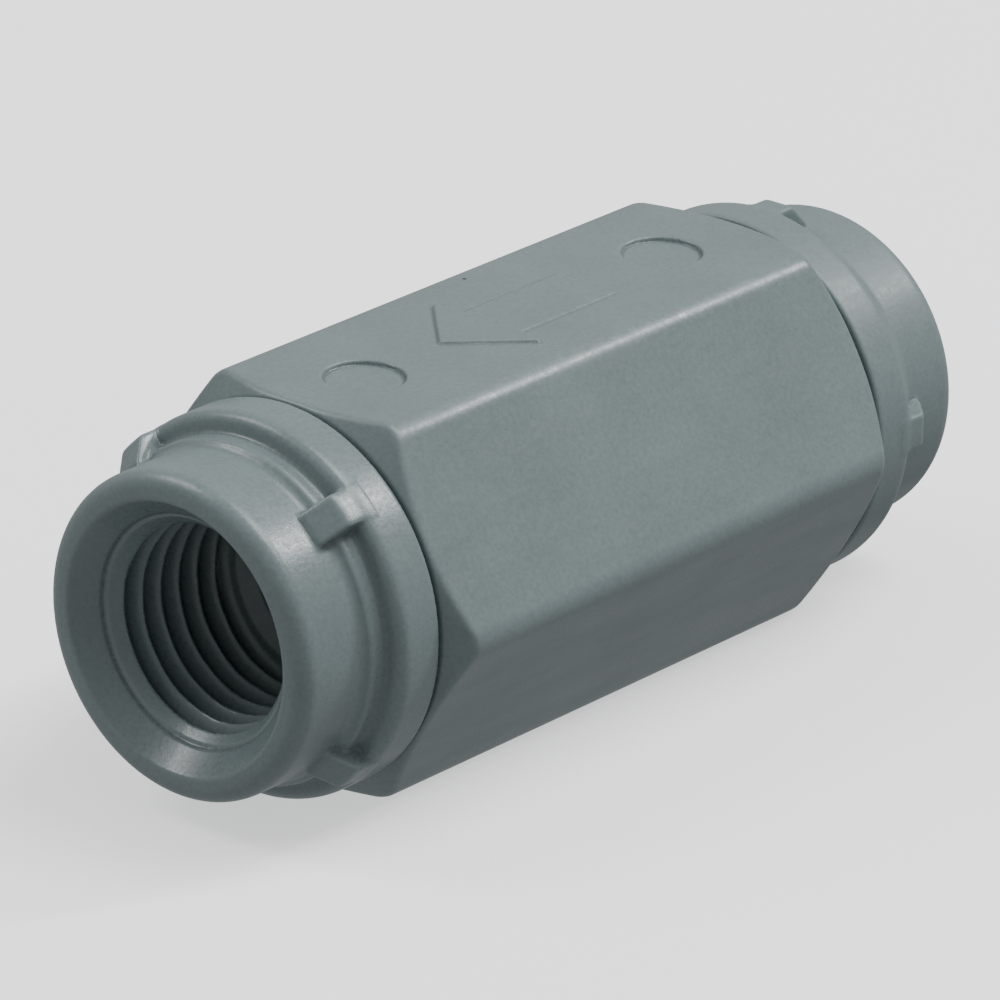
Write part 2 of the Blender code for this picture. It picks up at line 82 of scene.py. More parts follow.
# Bore of the body, from its ends to its middle
MOUTH_RADIUS = 9.5
BODY_THREAD_CREST = 8.65
BODY_THREAD_ROOT = 9.25
BODY_THREAD_START = 16.6
BODY_THREAD_PITCH = 1.6
BODY_THREAD_POINTS = 6
SEAL_SHOULDER = 11.8
RING_GROOVE = (8.5, 9.9)
RING_GROOVE_RADIUS = 9.3
GUIDE_SHOULDER = 6.0
SEAT_SHOULDER = -8.5
CHAMBER_RADIUS = 7.6
BORE_FILLET = 0.15

# Marks on the top flat
ARROW_HEAD = [(7.05, 0.35), (3.0, 4.25), (2.3, 0.35), (3.0, -3.6)]
ARROW_HEAD_HEIGHT = 0.2
ARROW_SHAFT = [(4.0, 2.45), (-5.6, 2.45), (-5.6, -1.75), (4.0, -1.75)]
ARROW_SHAFT_HEIGHT = 0.12
ARROW_FILLET = 0.12
ARROW_FOOT_FILLET = 0.08
RECESSES = ((13.3, 0.4, 2.28), (-12.2, 0.2, 2.3))
RECESS_DEPTH = 0.28
RECESS_FILLET = 0.06
DARK_SPECK = (-1.4, -5.1, APOTHEM)
DARK_SPECK_RADIUS = 0.17

# End connectors, from the face inwards
FACE = 28.05
HUB_RADIUS = 9.35
LIP_ROUNDING = 1.0
HUB_END = 23.85
HUB_FILLET = 0.75
LEDGE_FRONT = 23.0
LEDGE_RADIUS = 9.8
LEDGE_FILLET = 0.35
FLANGE_FRONT = 22.1
FLANGE_ROUNDING = 0.75
FLANGE_RADIUS = 11.0
FLANGE_BACK = 18.95
FLANGE_BACK_ROUNDING = 0.22
SPIGOT_RADIUS = 7.95
SPIGOT_THREAD_ROOT = 8.35
SPIGOT_THREAD_CREST = 8.95
SPIGOT_THREAD_BACK = 17.1
SPIGOT_TIP = 11.2
SPIGOT_TIP_BACK = 11.8
CONNECTOR_FILLET = 0.1

# Spanner lugs
OUTLET_LUGS = (48.0, 135.0, 228.0, 318.0)
INLET_LUGS = (0.0, 90.0, 180.0, 270.0)
LUG_HALF_WIDTH = 1.03
LUG_FRONT = 24.4
LUG_FRONT_RADIUS = 9.55
LUG_TOP_RADIUS = FLANGE_RADIUS - 0.03
LUG_FOOT_RADIUS = 8.0
LUG_BACK = 21.0
LUG_ROOT_FILLET = 0.18

# Port and its pipe thread
CHAMFER_RADIUS = 7.8
CHAMFER_SLOPE = 0.92
CHAMFER_FOOT = (26.62, 6.68)
PORT_STEP = 26.34
PORT_STEP_RADII = (6.64, 6.42)
PITCH = 25.4 / 18
MINOR_RADIUS = 5.75
THREAD_DEPTH = 1.1
THREAD_START = 25.62
THREAD_START_RADIUS = 5.85
THREAD_END = 17.3
THREAD_RUN_OUT = 1.0
TAPER = 1 / 32
WATERWAY_RADIUS = 4.5
BELOW_AXIS = -9

# Return spring
SPRING_RADIUS = 3.6
SPRING_WIRE = 0.3
SPRING_TURNS = 6.5
CLOSE_PITCH = 2.3 * SPRING_WIRE
SPRING_STEPS_PER_TURN = 48
WIRE_SIDES = 14


# Distance fields

def outline_field(outline, along, across):
    """Signed distance, negative inside, from each pair of the two sets of places to a closed outline."""
    best = np.full(np.broadcast(along, across).shape, 1e9)
    inside = np.zeros(best.shape, bool)
    for (x0, y0), (x1, y1) in zip(outline, outline[1:] + outline[:1]):
        dx, dy = x1 - x0, y1 - y0
        part = np.clip(((along - x0) * dx + (across - y0) * dy) / (dx * dx + dy * dy), 0, 1)
        best = np.minimum(best, (along - x0 - part * dx) ** 2 + (across - y0 - part * dy) ** 2)
        if dy:
            crossed = (y0 > across) != (y1 > across)
            inside ^= crossed & (along < x0 + (across - y0) * dx / dy)
    return np.where(inside, -1, 1) * np.sqrt(best)


def arc(centre, radius, first, last, parts):
    """Points on an arc, from one angle in degrees to another."""
    angles = [radians(first + (last - first) * i / parts) for i in range(parts + 1)]
    return [(centre[0] + radius * cos(a), centre[1] + radius * sin(a)) for a in angles]


def revolved(outline, x, radius):
    """The field of an outline of (along, radius) points turned about the axis."""
    step = 0.03
    radii = np.arange(0, radius.max() + 3 * step, step)
    table = outline_field(outline, x.reshape(-1, 1), radii.reshape(1, -1)).astype(np.float32)
    place = radius / step
    low = place.astype(int)
    part = (place - low).astype(np.float32)
    return table[:, low] * (1 - part) + table[:, low + 1] * part


def join(a, b, fillet):
    """Union of two fields with a concave fillet."""
    blend = np.maximum(fillet - np.abs(a - b), 0) / fillet
    return np.minimum(a, b) - blend * blend * fillet / 4


def common(a, b, fillet):
    """Intersection of two fields with a rounded edge."""
    return -join(-a, -b, fillet)


class Grid:
    """Evenly spaced places in a block, in millimetres."""

    def __init__(self, low, high, step):
        self.low = np.array(low, float)
        self.step = step
        self.count = [int(np.ceil((b - a) / step)) + 1 for a, b in zip(low, high)]
        lines = [a + step * np.arange(n) for a, n in zip(low, self.count)]
        self.x = lines[0].reshape(-1, 1, 1).astype(np.float32)
        self.y = lines[1].reshape(1, -1, 1).astype(np.float32)
        self.z = lines[2].reshape(1, 1, -1).astype(np.float32)
        self.radius = np.hypot(lines[1].reshape(-1, 1), lines[2].reshape(1, -1))
        self.angle = np.arctan2(lines[2].reshape(1, -1), lines[1].reshape(-1, 1))


def sample(field, places):
    """The field at places given in grid steps."""
    top = np.array(field.shape) - 2
    low = np.clip(np.floor(places).astype(int), 0, top)
    part = places - low
    total = np.zeros(len(places))
    for corner in range(8):
        bits = np.array([corner >> 2 & 1, corner >> 1 & 1, corner & 1])
        weight = np.prod(np.where(bits, part, 1 - part), axis=1)
        i, j, k = (low + bits).T
        total += weight * field[i, j, k]
    return total


def slope(field, places, reach=1.0):
    """How the field rises along each axis, per grid step."""
    steps = np.eye(3) * reach
    rises = [sample(field, places + s) - sample(field, places - s) for s in steps]
    return np.stack(rises, axis=1) / (2 * reach)


def surface(field):
    """Vertices, in grid steps, and quads of the field's zero level."""
    shape = np.array(field.shape)
    strides = np.array([shape[1] * shape[2], shape[2], 1])
    cells, points, rings = [], [], []
    for axis in range(3):
        near = np.moveaxis(field, axis, 0)[:-1]
        far = np.moveaxis(field, axis, 0)[1:]
        crossed = np.argwhere((near < 0) != (far < 0))
        a = near[tuple(crossed.T)]
        b = far[tuple(crossed.T)]
        order = [axis] + [i for i in range(3) if i != axis]
        where = np.empty_like(crossed)
        where[:, order] = crossed
        point = where.astype(float)
        point[:, axis] += a / (a - b)
        one, two = (axis + 1) % 3, (axis + 2) % 3
        ring = []
        for back_one, back_two in ((0, 0), (1, 0), (1, 1), (0, 1)):
            cell = where @ strides - back_one * strides[one] - back_two * strides[two]
            ring.append(cell)
            cells.append(cell)
            points.append(point)
        ring = np.stack(ring, axis=1)
        ring[a >= 0] = ring[a >= 0][:, ::-1]
        rings.append(ring)
    cells = np.concatenate(cells)
    points = np.concatenate(points)
    names, index, count = np.unique(cells, return_inverse=True, return_counts=True)
    index = index.ravel()
    middle = np.stack([np.bincount(index, points[:, i]) / count for i in range(3)], axis=1)
    quads = np.searchsorted(names, np.concatenate(rings))
    return middle, quads


def read_field(mesh, field, grid):
    """Puts the vertices on the zero level, and takes normals and an edge mask from the field."""
    places = np.empty(len(mesh.vertices) * 3)
    mesh.vertices.foreach_get("co", places)
    places = (places.reshape(-1, 3) / MM - grid.low) / grid.step
    for _ in range(3):
        level = sample(field, places) / grid.step
        normal = slope(field, places, 0.5) / grid.step
        size = np.maximum((normal ** 2).sum(axis=1), 0.25)
        places -= np.clip(level / size, -0.4, 0.4)[:, None] * normal
    normal = slope(field, places, 0.6)
    normal /= np.maximum(np.linalg.norm(normal, axis=1), 1e-9)[:, None]
    around = sum(
        sample(field, places + s * EDGE_REACH) + sample(field, places - s * EDGE_REACH)
        for s in np.eye(3)
    )
    bend = (around - 6 * sample(field, places)) / (EDGE_REACH * grid.step) ** 2
    mesh.vertices.foreach_set("co", ((places * grid.step + grid.low) * MM).ravel())
    edge = mesh.attributes.new("edge", "FLOAT", "POINT")
    edge.data.foreach_set("value", np.clip(bend / SHARPEST_BEND, -1, 1))
    mesh.polygons.foreach_set("use_smooth", np.ones(len(mesh.polygons), bool))
    mesh.update()
    mesh.normals_split_custom_set_from_vertices(normal.tolist())


def merged(places, quads, blocks):
    """Merges vertices that share a block of this many grid steps. A block of 1 merges nothing."""
    cell = np.floor(places / blocks[:, None]).astype(np.int64)
    span = 4096  # more than any grid has steps
    keys = ((blocks * span + cell[:, 0]) * span + cell[:, 1]) * span + cell[:, 2]
    alone = blocks == 1
    keys[alone] = -1 - np.arange(alone.sum())
    _, index, count = np.unique(keys, return_inverse=True, return_counts=True)
    index = index.ravel()
    middle = np.stack([np.bincount(index, places[:, i]) / count for i in range(3)], axis=1)
    quads = index[quads]
    same = quads == np.roll(quads, -1, axis=1)
    crossed = (quads[:, 0] == quads[:, 2]) | (quads[:, 1] == quads[:, 3])
    whole = quads[(same.sum(axis=1) == 0) & ~crossed]
    cut = (same.sum(axis=1) == 1) & ~crossed
    corners = quads[cut][~same[cut]].reshape(-1, 3)
    return middle, index, (whole, corners)


def folded(field, middle, polygons):
    """Marks the vertices of polygons that are turned away from the surface."""
    normal = slope(field, middle, 0.6)
    marked = np.zeros(len(middle), bool)
    for faces in polygons:
        corners = middle[faces]
        facing = normal[faces].sum(axis=1)
        for last in range(2, faces.shape[1]):
            across = np.cross(corners[:, last - 1] - corners[:, 0], corners[:, last] - corners[:, 0])
            wrong = (across * facing).sum(axis=1) < 0.2 * np.linalg.norm(across, axis=1)
            marked[faces[wrong].ravel()] = True
    return marked


def bulge(field, places, reach):
    """How far the surface strays from its tangent plane, in millimetres, over this many grid steps."""
    level = sample(field, places)
    tilt = slope(field, places)
    stray = np.zeros(len(places))
    for axis in range(3):
        for way in (-reach, reach):
            step = np.zeros(3)
            step[axis] = way
            off = np.abs(sample(field, places + step) - level - way * tilt[:, axis])
            stray = np.maximum(stray, off)
    return stray


def field_piece(name, field, grid, hidden, body, look):
    """A piece meshed from its field, with a coarser mesh where it is flat or hidden inside the valve."""
    places, quads = surface(field)
    at = places * grid.step + grid.low
    blocks = np.ones(len(places), int)
    for rule in MERGING:
        blocks[bulge(field, places, rule["reach"]) < rule["stray"]] = rule["block"]
    out_of_sight = hidden(at[:, 0], np.hypot(at[:, 1], at[:, 2]))
    blocks[out_of_sight] = HIDDEN_BLOCK
    for _ in range(4):
        middle, index, polygons = merged(places, quads, blocks)
        turned = folded(field, middle, polygons)[index] & ~out_of_sight & (blocks > 1)
        if not turned.any():
            break
        blocks[turned] = 1
    mesh = bpy.data.meshes.new(name)
    faces = polygons[0].tolist() + polygons[1].tolist()
    mesh.from_pydata(((middle * grid.step + grid.low) * MM).tolist(), [], faces)
    mesh.validate()
    obj = bpy.data.objects.new(name, mesh)
    bpy.context.scene.collection.objects.link(obj)
    read_field(mesh, field, grid)
    mesh.materials.append(look)
    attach(obj, body)
    return obj


# Materials

class Nodes:
    """Small helper that adds linked nodes to a material."""

    def __init__(self, name):
        self.material = bpy.data.materials.new(name)
        self.material.use_nodes = True
        self.tree = self.material.node_tree
        self.shader = self.tree.nodes["Principled BSDF"]
        self.place = self.add("ShaderNodeTexCoord").outputs["Object"]

    def add(self, kind, **settings):
        node = self.tree.nodes.new(kind)
        for key, value in settings.items():
            setattr(node, key, value)
        return node

    def link(self, source, target):
        self.tree.links.new(source, target)

    def stretched(self, scale):
        node = self.add("ShaderNodeMapping")
        node.inputs["Scale"].default_value = scale
        self.link(self.place, node.inputs["Vector"])
        return node.outputs["Vector"]

    def noise(self, size, detail=2.0, rough=0.5, vector=None):
        """Noise with features of about this size in millimetres."""
        node = self.add("ShaderNodeTexNoise")
        node.inputs["Scale"].default_value = 1 / (size * MM)
        node.inputs["Detail"].default_value = detail
        node.inputs["Roughness"].default_value = rough
        self.link(vector or self.place, node.inputs["Vector"])
        return node.outputs["Fac"]

    def remap(self, value, from_low, from_high, to_low, to_high):
        node = self.add("ShaderNodeMapRange")
        node.inputs["From Min"].default_value = from_low
        node.inputs["From Max"].default_value = from_high
        node.inputs["To Min"].default_value = to_low
        node.inputs["To Max"].default_value = to_high
        self.link(value, node.inputs["Value"])
        return node.outputs["Result"]

    def math(self, operation, a, b):
        node = self.add("ShaderNodeMath", operation=operation)
        for socket, value in zip(node.inputs, (a, b)):
            if isinstance(value, (int, float)):
                socket.default_value = value
            else:
                self.link(value, socket)
        return node.outputs["Value"]

    def mix(self, factor, a, b):
        node = self.add("ShaderNodeMix", data_type="RGBA")
        self.link(factor, node.inputs["Factor"])
        for socket, value in ((node.inputs["A"], a), (node.inputs["B"], b)):
            if isinstance(value, tuple):
                socket.default_value = value
            else:
                self.link(value, socket)
        return node.outputs["Result"]

    def bump(self, height, distance, strength=1.0, after=None):
        """Relief this deep, in millimetres, on top of any relief before it."""
        node = self.add("ShaderNodeBump")
        node.inputs["Distance"].default_value = distance * MM
        node.inputs["Strength"].default_value = strength
        self.link(height, node.inputs["Height"])
        if after:
            self.link(after, node.inputs["Normal"])
        return node.outputs["Normal"]


def shade(colour, factor):
    return tuple(c * factor for c in colour) + (1.0,)


def spot(nodes, centre, size):
    """1 at a place on the surface, falling to 0 at this distance in millimetres."""
    away = nodes.add("ShaderNodeVectorMath", operation="DISTANCE")
    nodes.link(nodes.place, away.inputs[0])
    away.inputs[1].default_value = [c * MM for c in centre]
    return nodes.remap(away.outputs["Value"], 0.4 * size * MM, size * MM, 1.0, 0.0)


PVC = (0.185, 0.236, 0.243)
SPECK_COLOUR = (0.03, 0.035, 0.03, 1.0)


def grey_pvc(name, colour=PVC, specks=(), roughness=0.33):
    """Moulded grey PVC: cloudy pigment, fine grain, faint rubbed streaks, pale edges, and painted shade
    darkening its concave corners.
    """
    n = Nodes(name)
    cloud = n.noise(6.0, 3.0)
    grain = n.noise(0.28, 3.0, 0.6)
    streak = n.noise(1.2, 3.0, 0.6, n.stretched((0.12, 1.0, 1.0)))
    edge = n.add("ShaderNodeAttribute", attribute_name="edge").outputs["Fac"]
    base = n.mix(n.remap(cloud, 0.3, 0.7, 0.0, 1.0), shade(colour, 0.94), shade(colour, 1.05))
    speckled = n.mix(n.remap(grain, 0.35, 0.65, 0.0, 1.0), (0.86, 0.87, 0.87, 1), (1.1, 1.09, 1.09, 1))
    product = n.add("ShaderNodeMix", data_type="RGBA", blend_type="MULTIPLY")
    product.inputs["Factor"].default_value = 0.5
    n.link(base, product.inputs["A"])
    n.link(speckled, product.inputs["B"])
    tone = n.mix(n.remap(edge, 0.3, 1.0, 0.0, 0.15), product.outputs["Result"], shade(colour, 1.3))
    # Painted shade: where the edge mask bends inwards, in concave corners and creases, the colour is
    # darkened towards 0.45 of the PVC.
    tone = n.mix(n.remap(edge, -0.3, -1.0, 0.0, 0.55), tone, shade(colour, 0.45))
    for centre, size in specks:
        tone = n.mix(spot(n, centre, size), tone, SPECK_COLOUR)
    n.link(tone, n.shader.inputs["Base Color"])
    grained = n.remap(grain, 0.3, 0.7, -0.05, 0.06)
    rubbed = n.remap(streak, 0.35, 0.7, roughness - 0.04, roughness + 0.07)
    n.link(n.math("ADD", grained, rubbed), n.shader.inputs["Roughness"])
    relief = n.bump(cloud, 0.04, 0.5)
    relief = n.bump(grain, 0.014, 0.9, relief)
    n.link(relief, n.shader.inputs["Normal"])
    n.shader.inputs["IOR"].default_value = 1.53
    n.shader.inputs["Specular IOR Level"].default_value = 0.5
    return n.material


def rubber(name):
    """Black moulded rubber with a little pale dust."""
    n = Nodes(name)
    grain = n.noise(0.15, 3.0, 0.6)
    dust = n.remap(n.noise(1.5, 4.0, 0.6), 0.45, 0.75, 0.0, 0.5)
    n.link(n.mix(dust, (0.014, 0.014, 0.015, 1), (0.05, 0.05, 0.048, 1)), n.shader.inputs["Base Color"])
    n.link(n.remap(grain, 0.3, 0.7, 0.5, 0.75), n.shader.inputs["Roughness"])
    n.link(n.bump(grain, 0.01, 0.8), n.shader.inputs["Normal"])
    return n.material


def fluoropolymer(name):
    """Turned off-white PTFE, slightly translucent."""
    n = Nodes(name)
    turned = n.noise(0.5, 2.0, 0.5, n.stretched((12.0, 0.3, 0.3)))
    cloud = n.remap(n.noise(2.5, 3.0), 0.3, 0.7, 0.0, 1.0)
    n.link(n.mix(cloud, (0.7, 0.68, 0.62, 1), (0.83, 0.82, 0.78, 1)), n.shader.inputs["Base Color"])
    n.link(n.remap(turned, 0.3, 0.7, 0.35, 0.5), n.shader.inputs["Roughness"])
    n.link(n.bump(turned, 0.01, 0.7), n.shader.inputs["Normal"])
    n.shader.inputs["Subsurface Weight"].default_value = 0.15
    n.shader.inputs["Subsurface Radius"].default_value = (0.001, 0.001, 0.0008)
    return n.material


def steel(name, tint=(0.56, 0.56, 0.55)):
    """Turned or drawn stainless steel with faint smears."""
    n = Nodes(name)
    turned = n.noise(0.4, 3.0, 0.6, n.stretched((10.0, 0.5, 0.5)))
    smear = n.noise(2.0, 4.0, 0.6)
    colour = n.mix(n.remap(smear, 0.4, 0.7, 0.0, 1.0), shade(tint, 1.0), shade(tint, 0.72))
    n.link(colour, n.shader.inputs["Base Color"])
    brushed = n.remap(turned, 0.3, 0.7, 0.16, 0.3)
    smeared = n.remap(smear, 0.4, 0.7, 0.0, 0.12)
    n.link(n.math("ADD", brushed, smeared), n.shader.inputs["Roughness"])
    n.link(n.bump(turned, 0.006, 0.7), n.shader.inputs["Normal"])
    n.shader.inputs["Metallic"].default_value = 1.0
    return n.material


# Moulded pieces

def hexagonal_bar(grid):
    """A hexagonal bar with rounded ridges, and its ends cut to a cone."""
    inner = APOTHEM - RIDGE_RADIUS
    corner = inner / cos(pi / 6)
    hexagon = [(corner * cos(radians(60 * i)), corner * sin(radians(60 * i))) for i in range(6)]
    bar = (outline_field(hexagon, grid.y[0], grid.z[0]) - RIDGE_RADIUS).astype(np.float32)[None]
    clear = 3.0
    slant = (CORNER_RADIUS - END_RADIUS) / (BODY_HALF - CORNER_TIP)
    wide_at = CORNER_TIP - clear / slant
    cones = [
        (BODY_HALF, BELOW_AXIS),
        (BODY_HALF, END_RADIUS),
        (wide_at, CORNER_RADIUS + clear),
        (-wide_at, CORNER_RADIUS + clear),
        (-BODY_HALF, END_RADIUS),
        (-BODY_HALF, BELOW_AXIS),
    ]
    return common(np.broadcast_to(bar, grid.count), revolved(cones, grid.x, grid.radius), BODY_FILLET)


def mark_top(field, grid):
    """Raises the flow arrow and sinks the two round recesses in the top flat."""
    high = grid.z[0, 0] > APOTHEM - 1.5
    top = grid.z[:, :, high]
    part = field[:, :, high]
    for outline, height in ((ARROW_SHAFT, ARROW_SHAFT_HEIGHT), (ARROW_HEAD, ARROW_HEAD_HEIGHT)):
        plan = outline_field(outline, grid.x[:, :, 0], grid.y[:, :, 0]).astype(np.float32)[:, :, None]
        raised = common(plan, top - APOTHEM - height, ARROW_FILLET)
        part = join(part, raised, ARROW_FOOT_FILLET)
    for x, y, radius in RECESSES:
        plan = np.hypot(grid.x - x, grid.y - y) - radius
        pocket = common(plan, APOTHEM - RECESS_DEPTH - top, RECESS_FILLET)
        part = common(part, -pocket, RECESS_FILLET)
    field[:, :, high] = part


def body_bore():
    """The outline of the body's bore: a thread at each end, and a ring groove and a chamber between them."""
    thread = [
        (
            BODY_THREAD_START - BODY_THREAD_PITCH * point / 2,
            BODY_THREAD_CREST if point % 2 else BODY_THREAD_ROOT,
        )
        for point in range(BODY_THREAD_POINTS)
    ]
    open_end = BODY_HALF + 1.3
    half = [(open_end, MOUTH_RADIUS), (17.1, MOUTH_RADIUS), (17.05, BODY_THREAD_CREST)]
    half += thread + [(SEAL_SHOULDER, BODY_THREAD_CREST)]
    groove_back, groove_front = RING_GROOVE
    middle = [
        (groove_front, BODY_THREAD_CREST),
        (groove_front, RING_GROOVE_RADIUS),
        (groove_back, RING_GROOVE_RADIUS),
        (groove_back, BODY_THREAD_CREST),
        (GUIDE_SHOULDER, BODY_THREAD_CREST),
        (GUIDE_SHOULDER, CHAMBER_RADIUS),
        (SEAT_SHOULDER, CHAMBER_RADIUS),
        (SEAT_SHOULDER, BODY_THREAD_CREST),
    ]
    other_half = [(-x, radius) for x, radius in reversed(half)]
    return [(open_end, BELOW_AXIS)] + half + middle + other_half + [(-open_end, BELOW_AXIS)]


def hex_body():
    grid = Grid((-19.2, -13.0, -11.5), (19.2, 13.0, 11.7), BODY_STEP)
    field = hexagonal_bar(grid)
    mark_top(field, grid)
    field = common(field, -revolved(body_bore(), grid.x, grid.radius), BORE_FILLET)
    obj = field_piece(
        "hexagonal_body",
        field,
        grid,
        lambda x, radius: (radius < 10) & (np.abs(x) < 17.5),
        "valve_body",
        grey_pvc("grey_pvc_body", specks=((DARK_SPECK, DARK_SPECK_RADIUS),)),
    )
    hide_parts("hex_body")


def lug_field(grid, angle, rows):
    """A spanner lug, level with the flange, whose top slants at 45 degrees to its front."""
    out = grid.y * cos(radians(angle)) + grid.z * sin(radians(angle))
    side = grid.z * cos(radians(angle)) - grid.y * sin(radians(angle))
    x = grid.x[rows]
    slanted = (x - LUG_FRONT + out - LUG_FRONT_RADIUS) * cos(pi / 4)
    slanted = common(slanted, grid.radius[None] - LUG_TOP_RADIUS, 0.18)
    front = common(slanted, x - LUG_FRONT, 0.15)
    field = common(front, np.abs(side) - LUG_HALF_WIDTH, 0.2)
    field = np.maximum(field, LUG_FOOT_RADIUS - out)
    return np.maximum(field, LUG_BACK - x)


def connector_outline():
    """The turned outside of a connector at the +X end, from its face inwards."""
    outline = [(FACE, BELOW_AXIS)]
    outline += arc((FACE - LIP_ROUNDING, HUB_RADIUS - LIP_ROUNDING), LIP_ROUNDING, 0, 90, 6)
    outline += arc((HUB_END, HUB_RADIUS + HUB_FILLET), HUB_FILLET, -90, -150, 4)
    outline += [(LEDGE_FRONT, LEDGE_RADIUS)]
    corner = (FLANGE_FRONT + LEDGE_FILLET, LEDGE_RADIUS + LEDGE_FILLET)
    outline += arc(corner, LEDGE_FILLET, -90, -180, 3)
    corner = (FLANGE_FRONT - FLANGE_ROUNDING, FLANGE_RADIUS - FLANGE_ROUNDING)
    outline += arc(corner, FLANGE_ROUNDING, 0, 90, 4)
    corner = (FLANGE_BACK + FLANGE_BACK_ROUNDING, FLANGE_RADIUS - FLANGE_BACK_ROUNDING)
    outline += arc(corner, FLANGE_BACK_ROUNDING, 90, 180, 2)
    outline += [
        (FLANGE_BACK, SPIGOT_RADIUS),
        (SPIGOT_THREAD_BACK, SPIGOT_RADIUS),
        (SPIGOT_THREAD_BACK, SPIGOT_THREAD_ROOT),
    ]
    outline += [
        (
            BODY_THREAD_START - BODY_THREAD_PITCH * point / 2,
            SPIGOT_THREAD_ROOT if point % 2 else SPIGOT_THREAD_CREST,
        )
        for point in range(BODY_THREAD_POINTS)
    ]
    return outline + [
        (SPIGOT_TIP_BACK, SPIGOT_THREAD_ROOT),
        (SPIGOT_TIP, SPIGOT_RADIUS),
        (SPIGOT_TIP, BELOW_AXIS),
    ]


def pipe_thread(grid):
    """The field of the space cut by a tapered helical thread."""
    turn = (grid.x - THREAD_START) / PITCH - grid.angle[None] / (2 * pi) + 0.5
    wave = 1 - np.abs(2 * (turn - np.floor(turn)) - 1)
    depth = THREAD_DEPTH * np.clip((wave - 0.1) / 0.7, 0, 1)
    depth *= np.clip((THREAD_START + 0.1 - grid.x) / 0.3, 0, 1)
    depth *= np.clip((grid.x - THREAD_END) / THREAD_RUN_OUT, 0, 1)
    minor = MINOR_RADIUS - (THREAD_START - grid.x) * TAPER
    thread = (grid.radius[None] - minor - depth) * 0.6
    thread = np.maximum(thread, grid.x - THREAD_START)
    return np.maximum(thread, THREAD_END - grid.x)


def port_field(grid):
    """The field of the space inside a connector: chamfered mouth, threaded bore and waterway."""
    mouth = [
        (FACE + 1, BELOW_AXIS),
        (FACE + 1, CHAMFER_RADIUS + CHAMFER_SLOPE),
        (FACE, CHAMFER_RADIUS),
        CHAMFER_FOOT,
        (PORT_STEP, PORT_STEP_RADII[0]),
        (PORT_STEP, PORT_STEP_RADII[1]),
        (THREAD_START, THREAD_START_RADIUS),
        (THREAD_START - 0.1, MINOR_RADIUS),
        (THREAD_START - 0.1, BELOW_AXIS),
    ]
    waterway = [
        (FACE + 2, BELOW_AXIS),
        (FACE + 2, WATERWAY_RADIUS),
        (SPIGOT_TIP - 6, WATERWAY_RADIUS),
        (SPIGOT_TIP - 6, BELOW_AXIS),
    ]
    run_in = [
        (THREAD_START, BELOW_AXIS),
        (THREAD_START, MINOR_RADIUS),
        (17.2, 5.45),
        (16.4, 4.4),
        (16.4, BELOW_AXIS),
    ]
    hollow = join(revolved(mouth, grid.x, grid.radius), revolved(waterway, grid.x, grid.radius), 0.1)
    hollow = np.minimum(hollow, revolved(run_in, grid.x, grid.radius))
    return np.minimum(hollow, pipe_thread(grid)).astype(np.float32)


def connector_field(grid, lugs):
    """One end connector, drawn at the +X end."""
    solid = revolved(connector_outline(), grid.x, grid.radius)
    rows = (grid.x[:, 0, 0] > 20.5) & (grid.x[:, 0, 0] < 24.8)
    for angle in lugs:
        solid[rows] = join(solid[rows], lug_field(grid, angle, rows), LUG_ROOT_FILLET)
    return common(solid, -port_field(grid), CONNECTOR_FILLET)


def connector(name, node, lugs, outwards, look):
    """An end connector, turned half round at the inlet, where outwards is -1."""
    grid = Grid((10.8, -11.5, -11.5), (28.5, 11.5, 11.5), CONNECTOR_STEP)
    obj = field_piece(
        name,
        connector_field(grid, lugs),
        grid,
        lambda x, radius: (x < 18.8) & (radius > 7.2),
        "valve_body",
        look,
    )
    if outwards < 0:
        obj.data.transform(Matrix.Rotation(pi, 4, "Z"))
    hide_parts(node)


def coil_spring():
    """The return spring's wire, with close end coils."""
    low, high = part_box("return_spring")
    start = low.x / MM + SPRING_WIRE
    end = high.x / MM - SPRING_WIRE
    turn = np.linspace(0, SPRING_TURNS, int(SPRING_TURNS * SPRING_STEPS_PER_TURN) + 1)
    along = np.interp(
        turn,
        (0, 1, SPRING_TURNS - 1, SPRING_TURNS),
        (start, start + CLOSE_PITCH, end - CLOSE_PITCH, end),
    )
    angle = 2 * pi * turn
    outwards = np.stack([0 * angle, np.sin(angle), -np.cos(angle)], axis=1)
    centre = outwards * SPRING_RADIUS
    centre[:, 0] = along
    forward = np.gradient(centre, axis=0)
    forward /= np.linalg.norm(forward, axis=1)[:, None]
    sideways = np.cross(forward, outwards)
    rings = [
        centre + SPRING_WIRE * (cos(a) * outwards + sin(a) * sideways)
        for a in (2 * pi * side / WIRE_SIDES for side in range(WIRE_SIDES))
    ]
    places = np.stack(rings, axis=1).reshape(-1, 3) * MM
    faces = []
    last = (len(turn) - 1) * WIRE_SIDES
    for ring in range(0, last, WIRE_SIDES):
        for side in range(WIRE_SIDES):
            beside = (side + 1) % WIRE_SIDES
            faces.append((ring + side, ring + beside, ring + beside + WIRE_SIDES, ring + side + WIRE_SIDES))
    faces += [tuple(reversed(range(WIRE_SIDES))), tuple(range(last, last + WIRE_SIDES))]
    mesh = bpy.data.meshes.new("coil_spring")
    mesh.from_pydata(places.tolist(), [], faces)
    mesh.polygons.foreach_set("use_smooth", [len(p.vertices) == 4 for p in mesh.polygons])
    mesh.materials.append(steel("drawn_wire", (0.5, 0.5, 0.49)))
    obj = bpy.data.objects.new("coil_spring", mesh)
    bpy.context.scene.collection.objects.link(obj)
    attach(obj, "valve_body")
    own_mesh(obj)
    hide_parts("return_spring")


hex_body()
coil_spring()
connector(
    "outlet_end_connector",
    "outlet_connector",
    OUTLET_LUGS,
    1,
    grey_pvc("grey_pvc_outlet", roughness=0.3),
)
connector(
    "inlet_end_connector",
    "inlet_connector",
    INLET_LUGS,
    -1,
    grey_pvc("grey_pvc_inlet", roughness=0.42),
)


# CAD nodes that stay, and their looks

